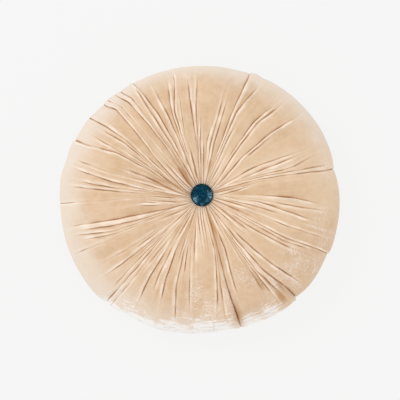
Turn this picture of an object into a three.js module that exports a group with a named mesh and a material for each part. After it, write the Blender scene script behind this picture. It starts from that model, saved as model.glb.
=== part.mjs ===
// A round gathered cushion of velvet, pulled in at the middle of both faces by a covered button.
// Millimetres, +Z up. The cushion lies on its back. Bearings are in degrees, anticlockwise from +X
// as seen from above, and every radius is taken from the axis through the two buttons.
import * as THREE from "three";

const NOMINAL_REACH = 200; // from the axis to the rim, as the section is drawn
const FRONT_SEAT_HEIGHT = 88; // the gathered cloth under the front button
const BACK_SEAT_HEIGHT = 37;
const SEAT_RADIUS = 11;
const SEAT = SEAT_RADIUS / NOMINAL_REACH;
const BUTTON_RADIUS = 16;
const BUTTON_THICKNESS = 9;
const GAP = 0.3; // between a button and the cloth that it is pulled against
const COVER_COLOUR = 0xe4c7a8;
const BUTTON_COLOUR = 0x14475a;

// How far the rim really lies from the axis, at every 30 degrees of bearing. The button is pulled a
// little towards the far side, so the near side is the fuller one.
const REACH_STEP = 30;
const REACH = [196.5, 194, 187, 185, 190.5, 199, 203.5, 207, 204.5, 198, 201.5, 199];

// The section from the back seat round the rim and over the crown to the front seat. "out" is a
// share of the way from the axis to the rim, and a height under zero is pressed flat by the floor.
const SECTION = [
  { out: 0.0, height: BACK_SEAT_HEIGHT },
  { out: SEAT, height: BACK_SEAT_HEIGHT },
  { out: 0.086, height: 35 },
  { out: 0.14, height: 28.5 },
  { out: 0.21, height: 18 },
  { out: 0.3, height: 7 },
  { out: 0.4, height: -0.5 },
  { out: 0.5, height: -3.5 },
  { out: 0.62, height: -3 },
  { out: 0.72, height: 1 },
  { out: 0.82, height: 11 },
  { out: 0.91, height: 26 },
  { out: 0.97, height: 43 },
  { out: 0.995, height: 60 },
  { out: 0.98, height: 74 },
  { out: 0.94, height: 87.5 },
  { out: 0.885, height: 100 },
  { out: 0.815, height: 111.5 },
  { out: 0.735, height: 120.5 },
  { out: 0.65, height: 126.5 },
  { out: 0.565, height: 129 },
  { out: 0.475, height: 128.2 },
  { out: 0.385, height: 124.5 },
  { out: 0.3, height: 118.5 },
  { out: 0.225, height: 111 },
  { out: 0.165, height: 103.5 },
  { out: 0.12, height: 96.5 },
  { out: 0.086, height: 90.5 },
  { out: SEAT, height: FRONT_SEAT_HEIGHT },
  { out: 0.0, height: FRONT_SEAT_HEIGHT },
];
const RIM_ROW = 13; // the row of SECTION that lies furthest out

// The main folds of the front, in order of bearing. The first four columns are the bearings at
// which a fold crosses the circles of STATIONS, then the radii where it starts and ends, and the
// depth of its crease.
const STATIONS = { first: 30, last: 180 };
const FOLDS = [
  // at30, at80, at130, at180, from, to, deep
  [2, 11.5, 9, 7, 26, 68, 5],
  [18, 15.6, 13.2, 11.4, 62, 206, 7],
  [33.5, 43.2, 42.2, 39.6, 24, 178, 6],
  [43.5, 52.2, 52.3, 48.4, 28, 180, 5],
  [49, 55, 54.5, 50.8, 96, 170, 6],
  [60, 65.1, 64.2, 59, 62, 112, 5],
  [69.4, 69, 67.4, 61.6, 36, 196, 7],
  [75, 76.9, 75.4, 74.8, 28, 150, 4],
  [80, 80.6, 78.2, 77.4, 46, 150, 5],
  [86.5, 88.6, 88.8, 88, 40, 82, 6],
  [97, 96, 97, 97, 82, 178, 6],
  [104, 104.6, 102.5, 99.5, 26, 74, 6],
  [110, 108.8, 108, 103.4, 60, 192, 8],
  [114, 112.8, 113.2, 114.4, 48, 190, 5],
  [119, 117.8, 118.4, 120.4, 74, 190, 7],
  [130, 126.6, 127.2, 128.4, 116, 198, 6],
  [138.5, 129.8, 130.4, 131.6, 22, 62, 8],
  [157, 141.8, 136.3, 134.4, 44, 178, 7],
  [160, 146.6, 141.6, 140.6, 52, 102, 6],
  [162, 150, 146.1, 147.2, 96, 168, 7],
  [166, 152, 149.8, 150.4, 36, 128, 5],
  [170, 155, 153.6, 156.7, 90, 204, 7],
  [175, 162, 161.2, 161, 32, 118, 5],
  [181, 174.3, 171, 168.2, 90, 178, 7],
  [185, 178.4, 177.2, 176.2, 96, 186, 6],
  [199, 184.8, 185, 185.2, 24, 58, 5],
  [203, 190.3, 189.8, 189, 58, 94, 5],
  [208, 198.2, 195.5, 193.6, 42, 190, 5],
  [211, 203, 200.4, 196.8, 70, 182, 7],
  [219, 209, 208.6, 205.4, 26, 70, 4],
  [223.5, 220.4, 220.6, 219.4, 34, 176, 6],
  [229.5, 227, 228.3, 228.2, 68, 214, 7],
  [237, 236.9, 237.3, 239.4, 78, 186, 5],
  [243.2, 244.4, 246.9, 250.4, 70, 162, 7],
  [249, 252.6, 254.4, 257.8, 72, 182, 6],
  [253.4, 263, 265.2, 266.4, 38, 98, 5],
  [260, 271, 272, 271.6, 24, 60, 4],
  [280.5, 282.9, 279.4, 276.8, 60, 170, 5],
  [288, 286.4, 285.2, 286.3, 46, 206, 8],
  [293.6, 293.2, 289.6, 290.4, 58, 146, 7],
  [303, 302.7, 303.4, 302.6, 70, 164, 6],
  [306, 307.8, 309, 312.6, 54, 208, 8],
  [311, 312.2, 315, 318.2, 68, 188, 6],
  [316, 318, 320, 323, 26, 66, 6],
  [328, 326.4, 328.4, 331, 50, 162, 7],
  [334.4, 331.4, 331.8, 335, 48, 206, 5],
  [351, 348.4, 345.6, 343.6, 38, 112, 4],
  [356, 353, 348.4, 346.4, 76, 154, 7],
  [360.5, 360, 358, 355.2, 96, 168, 7],
].map(([at30, at80, at130, at180, from, to, deep]) => {
  const stops = [at30, at80, at130, at180].map((bearing) => new THREE.Vector2(0, bearing));
  return { path: new THREE.SplineCurve(stops), from, to, deep };
});

const FADE = 22; // a crease reaches its depth this far inside its ends
const STEEPEST = 0.11; // a crease's depth is at most this share of its distance from the axis
const CREASE_WIDTH = 5; // the distance in which a crease rises to a third of its depth
const OVER_RIM = 195; // a fold that ends past this radius runs on over the rim
const GATHER = { deep: 2.4, at: 26, spread: 15 }; // all folds, tight round the front button
const BACK_GATHER = { deep: 7, at: 62, spread: 52 }; // the plain, even gathers of the back
const ROWS_TO_EVEN = 6; // past the rim the folds spread out evenly within these rows of SECTION
const ROWS_TO_BACK = 4; // and take on the depth of the back's gathers within these
const PUFF = 0.07; // height of the cloth between two creases, as a share of their distance
const PUFF_LIMIT = 2.6;
const COLUMN_SPACING = 2.15; // degrees between lines of points, where the folds leave room
const FEWEST_COLUMNS = 2; // from one crease to the next
const MOST_COLUMNS = 7;
const ROOM_RADIUS = 130; // the circle on which that room is measured

const { clamp, degToRad, lerp, smoothstep } = THREE.MathUtils;

// The rim's distance from the axis, on a smooth closed curve through REACH.
const LAP = 2; // points of REACH that are repeated at each end, to close the curve
const reachCurve = new THREE.SplineCurve(
  [...REACH.slice(-LAP), ...REACH, ...REACH.slice(0, LAP + 1)].map(
    (reach) => new THREE.Vector2(0, reach),
  ),
);
function reachAt(bearing) {
  const step = THREE.MathUtils.euclideanModulo(bearing, 360) / REACH_STEP + LAP;
  return reachCurve.getPoint(step / (reachCurve.points.length - 1)).y;
}

function frontBearing(fold, radius) {
  const t = (radius - STATIONS.first) / (STATIONS.last - STATIONS.first);
  return fold.path.getPoint(clamp(t, 0, 1)).y;
}

function evenBearing(index) {
  return FOLDS[0].path.getPoint(1).y + (index * 360) / FOLDS.length;
}

// A fold's bearing where the section is at `row`: its own path on the front, then round the rim to
// the even gathers of the back.
function foldBearing(index, row, radius) {
  const turns = Math.floor(index / FOLDS.length);
  const own = frontBearing(FOLDS[index - turns * FOLDS.length], radius) + 360 * turns;
  const share = smoothstep(RIM_ROW - row, 0, ROWS_TO_EVEN);
  return lerp(own, evenBearing(index), share);
}

function bell(radius, { deep, at, spread }) {
  return deep * Math.exp(-(((radius - at) / spread) ** 2));
}

// How far a fold's crease is sunk: between its ends on the front, and as one of the even gathers of
// the back.
function foldDepth(index, row, radius) {
  const fold = FOLDS[index % FOLDS.length];
  const begun = smoothstep(radius, fold.from, fold.from + FADE);
  const ended = smoothstep(radius, fold.to - FADE, fold.to);
  const own = Math.min(fold.deep * begun * (1 - ended), radius * STEEPEST);
  if (row >= RIM_ROW) return own + bell(radius, GATHER);
  const overRim = fold.to > OVER_RIM ? own : 0;
  return lerp(overRim, bell(radius, BACK_GATHER), smoothstep(RIM_ROW - row, 0, ROWS_TO_BACK));
}

// The lines of points that run from button to button: on each crease, and spread between two.
function makeColumns() {
  const columns = [];
  FOLDS.forEach((fold, index) => {
    const next = foldBearing(index + 1, RIM_ROW, ROOM_RADIUS);
    const room = next - foldBearing(index, RIM_ROW, ROOM_RADIUS);
    const count = clamp(Math.round(room / COLUMN_SPACING), FEWEST_COLUMNS, MOST_COLUMNS);
    for (let k = 0; k < count; k++) columns.push({ index, share: k / count });
  });
  return columns;
}

// The direction that the section faces at `row`: x away from the axis, y up.
function facing(row) {
  const before = SECTION[Math.max(row - 1, 0)];
  const after = SECTION[Math.min(row + 1, SECTION.length - 1)];
  const outward = (after.out - before.out) * NOMINAL_REACH;
  return new THREE.Vector2(after.height - before.height, -outward).normalize();
}

// Where one point of the cover lies: the section, sunk at the creases and puffed between them.
function coverPoint(column, row) {
  const { out, height } = SECTION[row];
  const left = foldBearing(column.index, row, out * NOMINAL_REACH);
  const right = foldBearing(column.index + 1, row, out * NOMINAL_REACH);
  const bearing = lerp(left, right, column.share);
  const radius = out * reachAt(bearing);
  const room = degToRad(right - left) * radius;
  const toLeft = column.share * room;
  const toRight = room - toLeft;
  const crease =
    foldDepth(column.index, row, radius) * Math.exp(-toLeft / CREASE_WIDTH) +
    foldDepth(column.index + 1, row, radius) * Math.exp(-toRight / CREASE_WIDTH);
  const puff = Math.min(PUFF * room, PUFF_LIMIT) * 4 * column.share * (1 - column.share);
  const lift = out > SEAT ? puff - crease : 0;
  const normal = facing(row);
  const r = radius + lift * normal.x;
  const z = Math.max(height + lift * normal.y, 0);
  return [r * Math.cos(degToRad(bearing)), r * Math.sin(degToRad(bearing)), z];
}

// The closed skin is spun first, and each of its points then moves to its place in the folds.
function coverGeometry() {
  const columns = makeColumns();
  const profile = SECTION.map(({ out, height }) => new THREE.Vector2(out * NOMINAL_REACH, height));
  const geometry = new THREE.LatheGeometry(profile, columns.length);
  const position = geometry.getAttribute("position");
  for (let i = 0; i < position.count; i++) {
    const row = i % SECTION.length;
    const column = columns[Math.floor(i / SECTION.length) % columns.length];
    position.setXYZ(i, ...coverPoint(column, row));
  }
  return geometry;
}

// A covered button: flat underneath, round at its edge and domed on top.
const BUTTON_FLAT = 10; // radius of the flat underside
const BUTTON_WAIST = 3.2; // height at which the button is widest
const SHOULDER = { height: 7.2, radius: 8.8 }; // the handles of the curve from there to the top
const BUTTON_SIDES = 36;
const BUTTON_RINGS = 7; // along each curve of the profile
function buttonGeometry() {
  const profile = new THREE.Path();
  profile.moveTo(0, 0);
  profile.lineTo(BUTTON_FLAT, 0);
  profile.quadraticCurveTo(BUTTON_RADIUS, 0, BUTTON_RADIUS, BUTTON_WAIST);
  profile.bezierCurveTo(
    BUTTON_RADIUS,
    SHOULDER.height,
    SHOULDER.radius,
    BUTTON_THICKNESS,
    0,
    BUTTON_THICKNESS,
  );
  const geometry = new THREE.LatheGeometry(profile.getPoints(BUTTON_RINGS), BUTTON_SIDES);
  return geometry.rotateX(Math.PI / 2);
}

function mesh(name, geometry, color, roughness) {
  const material = new THREE.MeshStandardMaterial({ color, roughness, metalness: 0 });
  const made = new THREE.Mesh(geometry, material);
  made.name = name;
  return made;
}

const cushion = new THREE.Group();
cushion.add(mesh("cover", coverGeometry(), COVER_COLOUR, 0.85));

const frontButton = mesh("front_button", buttonGeometry(), BUTTON_COLOUR, 0.8);
frontButton.position.z = FRONT_SEAT_HEIGHT + GAP;
cushion.add(frontButton);

const backButton = mesh("back_button", buttonGeometry(), BUTTON_COLOUR, 0.8);
backButton.rotation.x = Math.PI;
backButton.position.z = BACK_SEAT_HEIGHT - GAP;
cushion.add(backButton);

// The origin is under the middle of the cushion, on the surface that it lies on.
const middle = new THREE.Box3().setFromObject(cushion, true).getCenter(new THREE.Vector3());
cushion.position.set(-middle.x, -middle.y, 0);

export default cushion;
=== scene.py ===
"""A round gathered cushion of peach velvet with a teal covered button, lying on its back."""

import bpy
import numpy as np
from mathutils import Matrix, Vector


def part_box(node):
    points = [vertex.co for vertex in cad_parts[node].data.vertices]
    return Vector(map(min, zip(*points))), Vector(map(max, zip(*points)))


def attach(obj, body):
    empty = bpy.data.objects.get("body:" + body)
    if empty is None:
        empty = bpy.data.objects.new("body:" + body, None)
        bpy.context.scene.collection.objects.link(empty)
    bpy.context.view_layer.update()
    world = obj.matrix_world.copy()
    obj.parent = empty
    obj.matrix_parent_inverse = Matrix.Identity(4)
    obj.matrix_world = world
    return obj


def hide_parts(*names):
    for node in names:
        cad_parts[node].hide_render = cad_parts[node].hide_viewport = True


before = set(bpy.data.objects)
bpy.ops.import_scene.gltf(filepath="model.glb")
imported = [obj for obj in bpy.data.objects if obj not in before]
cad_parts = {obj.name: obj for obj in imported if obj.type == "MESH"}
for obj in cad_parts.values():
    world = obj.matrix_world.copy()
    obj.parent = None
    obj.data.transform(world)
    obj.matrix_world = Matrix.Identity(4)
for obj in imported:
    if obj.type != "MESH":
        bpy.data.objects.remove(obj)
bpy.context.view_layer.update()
MM = 0.001

# Cover. One width of short-pile velvet, sewn into a tube and gathered tight along both edges, then
# filled. The gathers fan out from the two buttons in uneven folds, some of them rolled over, and
# run out on the crown or over the rim.
COVER_COLUMNS = 900
LEAST_COLUMNS = 4
BACK_RINGS = 30
FRONT_RINGS = 80
NOMINAL_REACH = 200 * MM
SEAT_RADIUS = 11 * MM

# The rim's distance from the axis through the buttons, in millimetres, every so many degrees from +X.
REACH_EVERY = 10
REACH = [
    196, 194, 194, 193.5, 192, 190.5, 188.5, 187.5, 186, 185, 185, 186,
    188.5, 190.5, 194, 197.5, 200.5, 202, 203, 203, 204.5, 206, 207, 206.5,
    204, 202, 200, 198, 198, 199, 200.5, 201, 200.5, 199, 198, 197.5,
]

# The section from the back's middle round the rim to the front's: share of the reach, and height in
# millimetres. A height under zero is pressed flat by the floor. Then the number of the rim's row.
SECTION = [
    (0.000, 37), (0.055, 37), (0.086, 35), (0.140, 28.5), (0.210, 18), (0.300, 7),
    (0.400, -0.5), (0.500, -3.5), (0.620, -3), (0.720, 1), (0.820, 11), (0.910, 26),
    (0.970, 43), (0.995, 60), (0.980, 74), (0.940, 87.5), (0.885, 100), (0.815, 111.5),
    (0.735, 120.5), (0.650, 126.5), (0.565, 129), (0.475, 128.2), (0.385, 124.5), (0.300, 118.5),
    (0.225, 111), (0.165, 103.5), (0.120, 96.5), (0.086, 90.5), (0.055, 88), (0.000, 88),
]
RIM_ROW = 13
CURVE_POINTS = 2000

# The creases of the front in order of bearing: where each crosses the circles of 30, 80, 130 and
# 180 mm, the radii where it starts and ends, its depth, and its lean. At a lean over zero the cloth
# on the side of the lower bearings rolls over the crease, and under zero the cloth on the other.
STATIONS = (30 * MM, 80 * MM, 130 * MM, 180 * MM)
CREASES = [
    (2, 11.5, 9, 7, 26, 68, 5, 0),
    (10, 12.4, 10.4, 8.8, 16, 52, 3, 0),
    (17.2, 15.6, 13, 11.4, 40, 206, 8, -0.2),
    (18.8, 17.6, 14.8, 13.6, 160, 192, 5, 0),
    (20.4, 19.6, 17, 20, 104, 170, 6, -0.2),
    (22.2, 22.6, 22.3, 22.4, 60, 148, 5, 0.3),
    (24.5, 28.2, 25, 23.6, 56, 148, 5, 0.3),
    (31, 40.6, 40.3, 38, 84, 134, 4, 0),
    (33.5, 43.2, 42.2, 39.6, 24, 178, 6, 0.4),
    (43.5, 52.2, 52.3, 48.4, 28, 180, 5, 0.2),
    (49, 55, 54.5, 50.8, 96, 170, 6, 0.5),
    (57.5, 60.5, 60, 57, 36, 55, 3, 0),
    (63.5, 65.1, 64.2, 59, 62, 112, 5, 0.4),
    (69.4, 67.6, 67.2, 62.8, 36, 184, 7, 0.5),
    (71.5, 69.8, 69.9, 68.4, 66, 204, 5, 0.5),
    (75, 76.9, 75.4, 74.8, 28, 150, 4, -0.3),
    (80, 80.6, 78.2, 77.4, 46, 150, 5, 0),
    (84, 84.6, 80.5, 80, 66, 106, 4, 0.4),
    (86.5, 88.6, 88.8, 88, 40, 82, 6, -0.5),
    (92.8, 92, 90.5, 90, 30, 120, 4, 0),
    (94.5, 94.8, 94, 92.3, 60, 184, 3.5, -0.4),
    (98.4, 96, 97, 97, 82, 178, 6, 0.3),
    (104, 104.6, 102.5, 99.5, 26, 74, 6, 0),
    (108, 107.3, 103.7, 102, 100, 155, 3, 0),
    (110, 108.8, 108, 103.4, 60, 192, 8, 0.3),
    (112, 110.6, 110, 106.9, 128, 184, 6, 0.5),
    (114, 112.8, 113.2, 114.4, 48, 190, 5, -0.4),
    (119, 117.8, 118.4, 120.4, 74, 200, 7, -0.5),
    (121.5, 121, 121.7, 121.9, 58, 192, 4, 0),
    (127, 125, 125.4, 126, 150, 204, 4, -0.3),
    (130, 126.6, 127.2, 128.4, 116, 206, 6, 0.5),
    (135.6, 128.4, 130, 130.8, 16, 62, 9, 0.5),
    (140, 134.5, 132.8, 132.2, 150, 204, 4, 0.3),
    (146, 138, 134.4, 133.2, 16, 54, 3, 0.2),
    (151.5, 140, 135.3, 134, 16, 50, 3, 0),
    (157, 141.8, 136.3, 134.8, 44, 196, 7, 0.6),
    (160, 146.6, 141.6, 140.6, 52, 102, 6, -0.5),
    (161, 148.6, 144, 144.6, 138, 202, 4, 0.3),
    (162, 150, 146.1, 147.2, 96, 168, 7, 0),
    (166, 152, 149.8, 150.4, 36, 128, 5, -0.2),
    (168, 153.4, 152.3, 151.4, 126, 174, 5, 0),
    (170, 155, 153.6, 156.7, 90, 204, 7, 0),
    (175, 162, 161.2, 161, 32, 118, 5, -0.2),
    (177, 166, 166.2, 164.5, 155, 186, 3, 0),
    (178.5, 169.2, 168.3, 166.8, 52, 102, 5, 0.3),
    (181, 174.3, 171, 168.2, 90, 178, 7, 0.5),
    (183, 176, 174.9, 173.3, 112, 166, 6, 0.4),
    (185, 178.4, 177.2, 176.2, 96, 186, 6, 0.3),
    (188, 181, 181, 181, 50, 70, 3, 0),
    (193.3, 182.5, 183.2, 183.4, 160, 198, 3, 0),
    (199, 184.8, 185, 185.2, 24, 58, 5, -0.3),
    (201, 187, 187.2, 187.2, 58, 88, 5, -0.5),
    (203, 190.3, 189.8, 189, 58, 94, 5, 0.5),
    (208, 198.2, 195.5, 193.6, 42, 190, 5, -0.5),
    (209.5, 202.3, 198.7, 195.8, 72, 176, 5, 0.4),
    (211, 204, 202, 197.7, 122, 182, 5, 0.4),
    (213, 205.5, 203.8, 200.2, 138, 178, 7, 0.4),
    (215, 207, 206, 204.9, 170, 196, 3, 0),
    (219, 209, 208.6, 208, 26, 70, 4, 0),
    (221, 217.5, 215.6, 213.5, 124, 160, 4, 0),
    (222.5, 219.7, 218.3, 217, 36, 122, 4, 0),
    (224.5, 222.5, 220.8, 219.6, 122, 172, 6, 0.4),
    (226.5, 224.2, 223, 222.5, 50, 116, 3, 0),
    (228, 225.7, 225.6, 226, 142, 172, 5, 0),
    (229.5, 227, 228.3, 228.2, 68, 214, 7, -0.3),
    (231.5, 229.5, 230.7, 230.6, 155, 199, 5, 0),
    (234, 233, 232.2, 232.3, 70, 125, 4, 0),
    (237, 236.9, 237.3, 239.4, 78, 186, 5, 0.4),
    (240.5, 240.3, 242, 245, 78, 152, 5, -0.2),
    (243.2, 244.4, 246.9, 250.4, 70, 162, 7, 0.3),
    (247, 249.8, 251, 253.5, 60, 100, 3, 0),
    (249.5, 252, 254.2, 257.8, 118, 178, 6, 0.3),
    (251.5, 255.1, 258, 260, 74, 120, 6, 0),
    (252.5, 258.6, 262.5, 264.5, 100, 165, 3, 0),
    (255, 263, 265.2, 266.4, 38, 98, 5, -0.5),
    (260, 271, 272, 271.6, 24, 60, 4, -0.2),
    (266.5, 274, 273.4, 272.5, 16, 62, 4, 0.3),
    (273, 277, 275, 273.5, 30, 45, 3, 0),
    (280.5, 282.9, 279.4, 276.8, 60, 170, 5, 0),
    (284, 284.5, 281.7, 280.7, 110, 186, 3, 0),
    (288, 286.4, 285.2, 286.3, 46, 206, 8, 0),
    (293.6, 293.2, 289.6, 290.4, 58, 146, 7, 0.3),
    (299, 298, 297, 296, 36, 60, 3, 0),
    (301.5, 301.1, 301.3, 301, 84, 116, 3, 0),
    (303, 302.4, 302.9, 302.2, 118, 160, 6, -0.4),
    (304, 303.4, 304.7, 305.6, 70, 186, 5, -0.4),
    (305, 305.3, 306, 309.1, 134, 186, 7, -0.3),
    (306.5, 307.8, 309, 312.6, 54, 208, 8, 0),
    (311, 312.2, 315, 318.2, 68, 188, 6, 0.3),
    (316, 317.5, 317.8, 320, 26, 66, 6, -0.3),
    (324, 322.8, 323, 325, 36, 88, 4, 0),
    (328, 326.4, 328.4, 331, 50, 162, 7, 0.2),
    (332, 330.8, 330.9, 333.8, 50, 176, 5, -0.3),
    (335, 333.4, 333, 335.2, 160, 204, 5, -0.4),
    (337.5, 336.8, 337, 337.5, 30, 60, 4, 0),
    (342, 341, 340, 340.8, 165, 190, 4, -0.3),
    (346.5, 344.6, 342.6, 342, 16, 54, 3, 0),
    (351, 348.4, 345.6, 343.6, 38, 112, 4, -0.3),
    (356, 353, 348.4, 346.4, 76, 154, 7, 0.5),
    (358, 355.5, 353, 352.8, 112, 180, 3, 0),
    (360.5, 360, 358, 355.2, 96, 168, 7, 0.5),
]


def smooth(values, low, high):
    """0 below low, 1 above high, and an S between."""
    share = np.clip((values - low) / (high - low), 0, 1)
    return share * share * (3 - 2 * share)


def through(points, at):
    """The Catmull-Rom curve through evenly numbered points, read at the numbers of at."""
    padded = np.concatenate([points[:1], points, points[-1:]])
    start = np.clip(np.floor(at).astype(int), 0, len(points) - 2)
    t = np.clip(at - start, 0, 1)
    a, b, c, d = (padded[start + k] for k in range(4))
    squared = 2 * a - 5 * b + 4 * c - d
    cubed = 3 * (b - c) + d - a
    return 0.5 * (2 * b + (c - a) * t + squared * t**2 + cubed * t**3)


def round_the_circle(values, at):
    """The same curve through values spread evenly round a full circle, read at the numbers of at."""
    return through(np.concatenate([values[-2:], values, values[:3]]), at + 2)


def degrees_past(line, bearing):
    """How far a bearing lies past that of the line, from -180 to 180 degrees."""
    return np.mod(bearing - line + 180, 360) - 180


def way_along(out, height):
    """How far each point of the section is from its first one, along it."""
    steps = np.hypot(np.diff(out * NOMINAL_REACH), np.diff(height))
    return np.concatenate([[0], np.cumsum(steps)])


def section_rows():
    """The rings of points from the back's middle to the front's: row of SECTION, reach share, height."""
    rows = np.linspace(0, len(SECTION) - 1, CURVE_POINTS)
    out = through(np.array([row[0] for row in SECTION]), rows)
    height = through(np.array([row[1] for row in SECTION]), rows) * MM
    along = way_along(out, height)
    rim = np.interp(RIM_ROW, rows, along)
    stops = np.concatenate([
        np.linspace(0, rim, BACK_RINGS + 1),
        np.linspace(rim, along[-1], FRONT_RINGS + 1)[1:],
    ])
    return [np.interp(stops, along, values) for values in (rows, out, height)]


# Where a fold that runs over the rim stands proud: bearing, height in millimetres, and how many
# degrees it takes to fade towards the lower and the higher bearings.
RIM_TIPS = [
    (65.5, 2.6, 1.6, 6), (122, 1.0, 2.5, 2), (127.2, 1.2, 1.8, 1.6), (130.4, 1.2, 1.2, 1.6),
    (133.8, 1.2, 1.4, 2), (145.8, 1.3, 2.2, 4), (158, 1.2, 2, 5), (172, 0.8, 4, 4),
    (226, 1.8, 7, 1.6), (231, 1.4, 2, 5), (288, 1.6, 6, 1.8), (311, 1.2, 5, 2), (337, 1.8, 2, 7),
]


def reach_at(bearing):
    """The rim's distance from the axis at each bearing, with the tips of the folds."""
    reach = round_the_circle(np.array(REACH) * MM, np.mod(bearing, 360) / REACH_EVERY)
    for tip, high, below, above in RIM_TIPS:
        off = degrees_past(tip, bearing)
        reach = reach + high * MM * np.exp(-((off / np.where(off < 0, below, above)) ** 2))
    return reach


# How a fold lies: how it turns on its way to the seat, the steps that ease its bends, its waves, and
# how it hooks at the rim on the upper left. CLOSEST keeps two folds from crossing, in degrees.
SEED = 7
SEAT_EDGE = 16 * MM
AXIS_EDGE = 1 * MM
ON_TO_SEAT = 0.8
EASE = (1, 2, 3, 4, 3, 2, 1)
WAVES = (37 * MM, 61 * MM, 23 * MM)
WAVES_VARY = (0.8, 1.2)
WANDER = 0.35 * MM
HOOK = 2.6
HOOK_AT = 131
HOOK_WIDTH = 13
HOOK_ZONE = (172 * MM, 200 * MM)
CLOSEST = 0.25
# How deep it is: the pleats at the button, how it starts and ends, what is left of it beyond, how
# uneven it is, how deep its room lets it be, and what goes over the rim.
PLEAT_GAP = 5.8
PLEAT_DEPTH = 2.6 * MM
PLEATS_VARY = (0.35, 1.35)
PLEAT_END = (42 * MM, 84 * MM)
FADE_IN = 24 * MM
INNER_SHARE = 0.34
INNER_VARY = (0.3, 1.5)
INNER_START = (52 * MM, 92 * MM)
FADE_OUT = 30 * MM
FADE_OVER = 12 * MM
LEFT_OVER = 0.06
LEFT_OVER_FADE = 30 * MM
UNEVEN = 0.3
UNEVEN_LENGTH = 1.7
NEARER_COUNTS = 0.6
TIGHT_IN = 0.5
TIGHT_OUT = 0.75
RIM_ZONE = (180 * MM, 199 * MM)
RIM_REACHED = 195 * MM
RIM_SHARE = 0.85
# The folds of the back, spread evenly, every other one shallower.
BACK_DEPTH = 8 * MM
BACK_DEPTHS_VARY = (0.2, 1.2)
BACK_SHALLOWER = 0.3
BACK_LENGTHS = (80 * MM, 215 * MM)
BACK_FADE = 0.45
BACK_STRAY = 1.1
ROWS_TO_EVEN = 6
ROWS_TO_BACK = 4


def pleats_at_the_button(table):
    """1 for each crease that goes on to the button, a pleat's width or more from the next, else 0."""
    going_on = []
    for k in np.argsort(table[:, 4] - 2 * table[:, 6]):
        if all(abs(degrees_past(table[other, 0], table[k, 0])) >= PLEAT_GAP for other in going_on):
            going_on.append(k)
    chosen = np.zeros(len(table))
    chosen[going_on] = 1
    return chosen


def gap_round(bearing):
    """Each line's distance in degrees from its neighbours, the nearer one counting for more."""
    lap = np.concatenate([bearing[:, -1:] - 360, bearing, bearing[:, :1] + 360], axis=1)
    steps = np.diff(lap, axis=1)
    nearer = np.minimum(steps[:, 1:], steps[:, :-1])
    return NEARER_COUNTS * nearer + (1 - NEARER_COUNTS) / 2 * (steps[:, 1:] + steps[:, :-1])


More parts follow.
